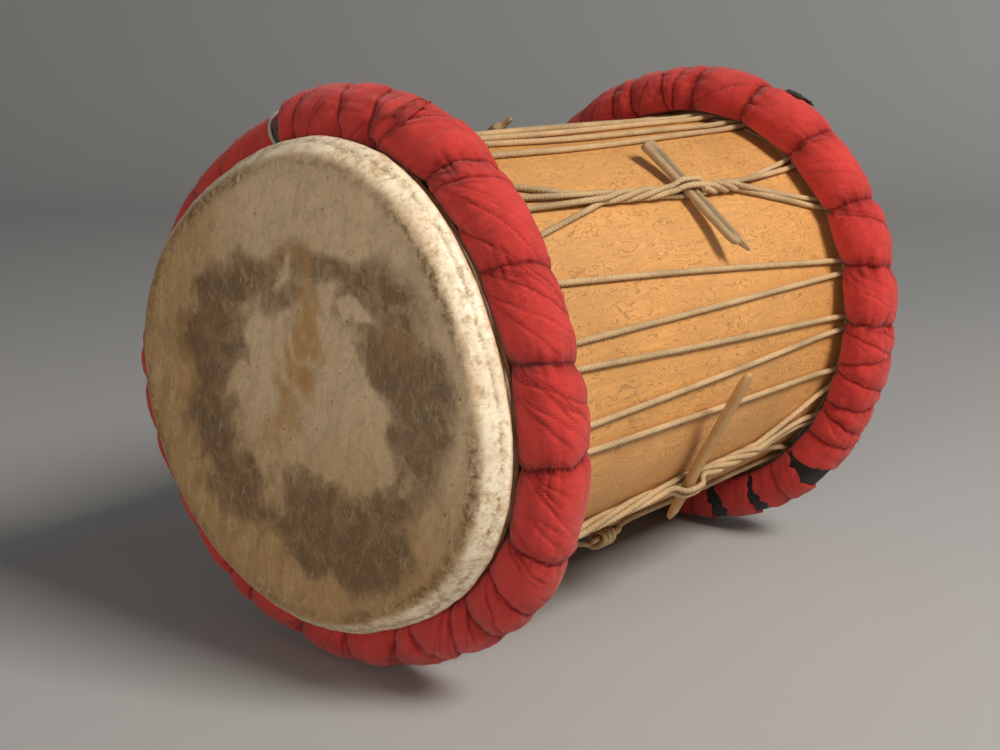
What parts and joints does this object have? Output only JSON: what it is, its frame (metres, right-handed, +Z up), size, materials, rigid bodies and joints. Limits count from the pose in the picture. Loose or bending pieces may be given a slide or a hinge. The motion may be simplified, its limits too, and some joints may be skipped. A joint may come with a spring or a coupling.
{
  "type": "cylinder drum",
  "caption": "Rope-tensioned cylinder drum lying on two padded collars: carved wooden shell, rawhide heads, zigzag rope lacing with twisting sticks, collars wound with red cloth.",
  "frame": {"origin": "on the floor under the middle of the drum, midway between its two heads", "axes": "+X along the drum from the played front head to the back head, +Y to the side away from the pictured one, +Z up"},
  "size_m": [0.5086, 0.397, 0.3946],
  "materials": {
    "shell_wood": "oiled",
    "rope": "twisted fibre",
    "rawhide": "scraped rawhide, slight sheen",
    "cane": "bare",
    "straw": "bound straw",
    "red_cloth": "matte cotton",
    "black_cloth": "matte cotton",
    "grey_cord": "twisted fibre",
    "split_wood": "weathered, split",
    "pale_wood": "smooth, bare"
  },
  "bodies": {
    "drum": {"shell": "shell_wood", "lacing_rope": "rope", "rope_knot": "rope", "front_head": "rawhide", "back_head": "rawhide", "front_flesh_hoop": "cane", "back_flesh_hoop": "cane", "front_collar_core": "straw", "back_collar_core": "straw", "front_red_wrap_1": "red_cloth", "front_red_wrap_2": "red_cloth", "front_red_wrap_3": "red_cloth", "front_red_wrap_4": "red_cloth", "front_red_wrap_5": "red_cloth", "back_red_wrap_1": "red_cloth", "back_red_wrap_2": "red_cloth", "back_red_wrap_3": "red_cloth", "back_red_wrap_4": "red_cloth", "back_red_wrap_5": "red_cloth", "back_red_wrap_6": "red_cloth", "back_red_wrap_7": "red_cloth", "front_black_wrap_1": "black_cloth", "back_black_wrap_1": "black_cloth", "back_black_wrap_2": "black_cloth", "back_black_wrap_3": "black_cloth", "back_black_flap": "black_cloth", "front_collar_cord": "grey_cord"},
    "toggle_1": {"toggle_stick_1": "split_wood"},
    "toggle_2": {"toggle_stick_2": "pale_wood"},
    "toggle_3": {"toggle_stick_3": "split_wood"},
    "toggle_4": {"toggle_stick_4": "pale_wood"},
    "toggle_5": {"toggle_stick_5": "pale_wood"}
  },
  "joints": [
    {"name": "toggle_stick_1_swivel", "type": "hinge", "parent": "drum", "child": "toggle_1", "pos_m": [0.03001, -0.11327, 0.31465], "axis": [0, -0.6834, 0.73], "range_deg": [-8, 8]},
    {"name": "toggle_stick_2_swivel", "type": "hinge", "parent": "drum", "child": "toggle_2", "pos_m": [0.01195, -0.13297, 0.09856], "axis": [0, -0.8586, -0.5126], "range_deg": [-8, 8]},
    {"name": "toggle_stick_3_swivel", "type": "hinge", "parent": "drum", "child": "toggle_3", "pos_m": [0.02696, 0.08495, 0.33283], "axis": [0, 0.5393, 0.8421], "range_deg": [-8, 8]},
    {"name": "toggle_stick_4_swivel", "type": "hinge", "parent": "drum", "child": "toggle_4", "pos_m": [0.00992, 0.05257, 0.04378], "axis": [0, 0.3395, -0.9406], "range_deg": [-8, 8]},
    {"name": "toggle_stick_5_swivel", "type": "hinge", "parent": "drum", "child": "toggle_5", "pos_m": [0.02009, 0.15948, 0.20379], "axis": [0, 0.9989, 0.0462], "range_deg": [-8, 8]}
  ]
}
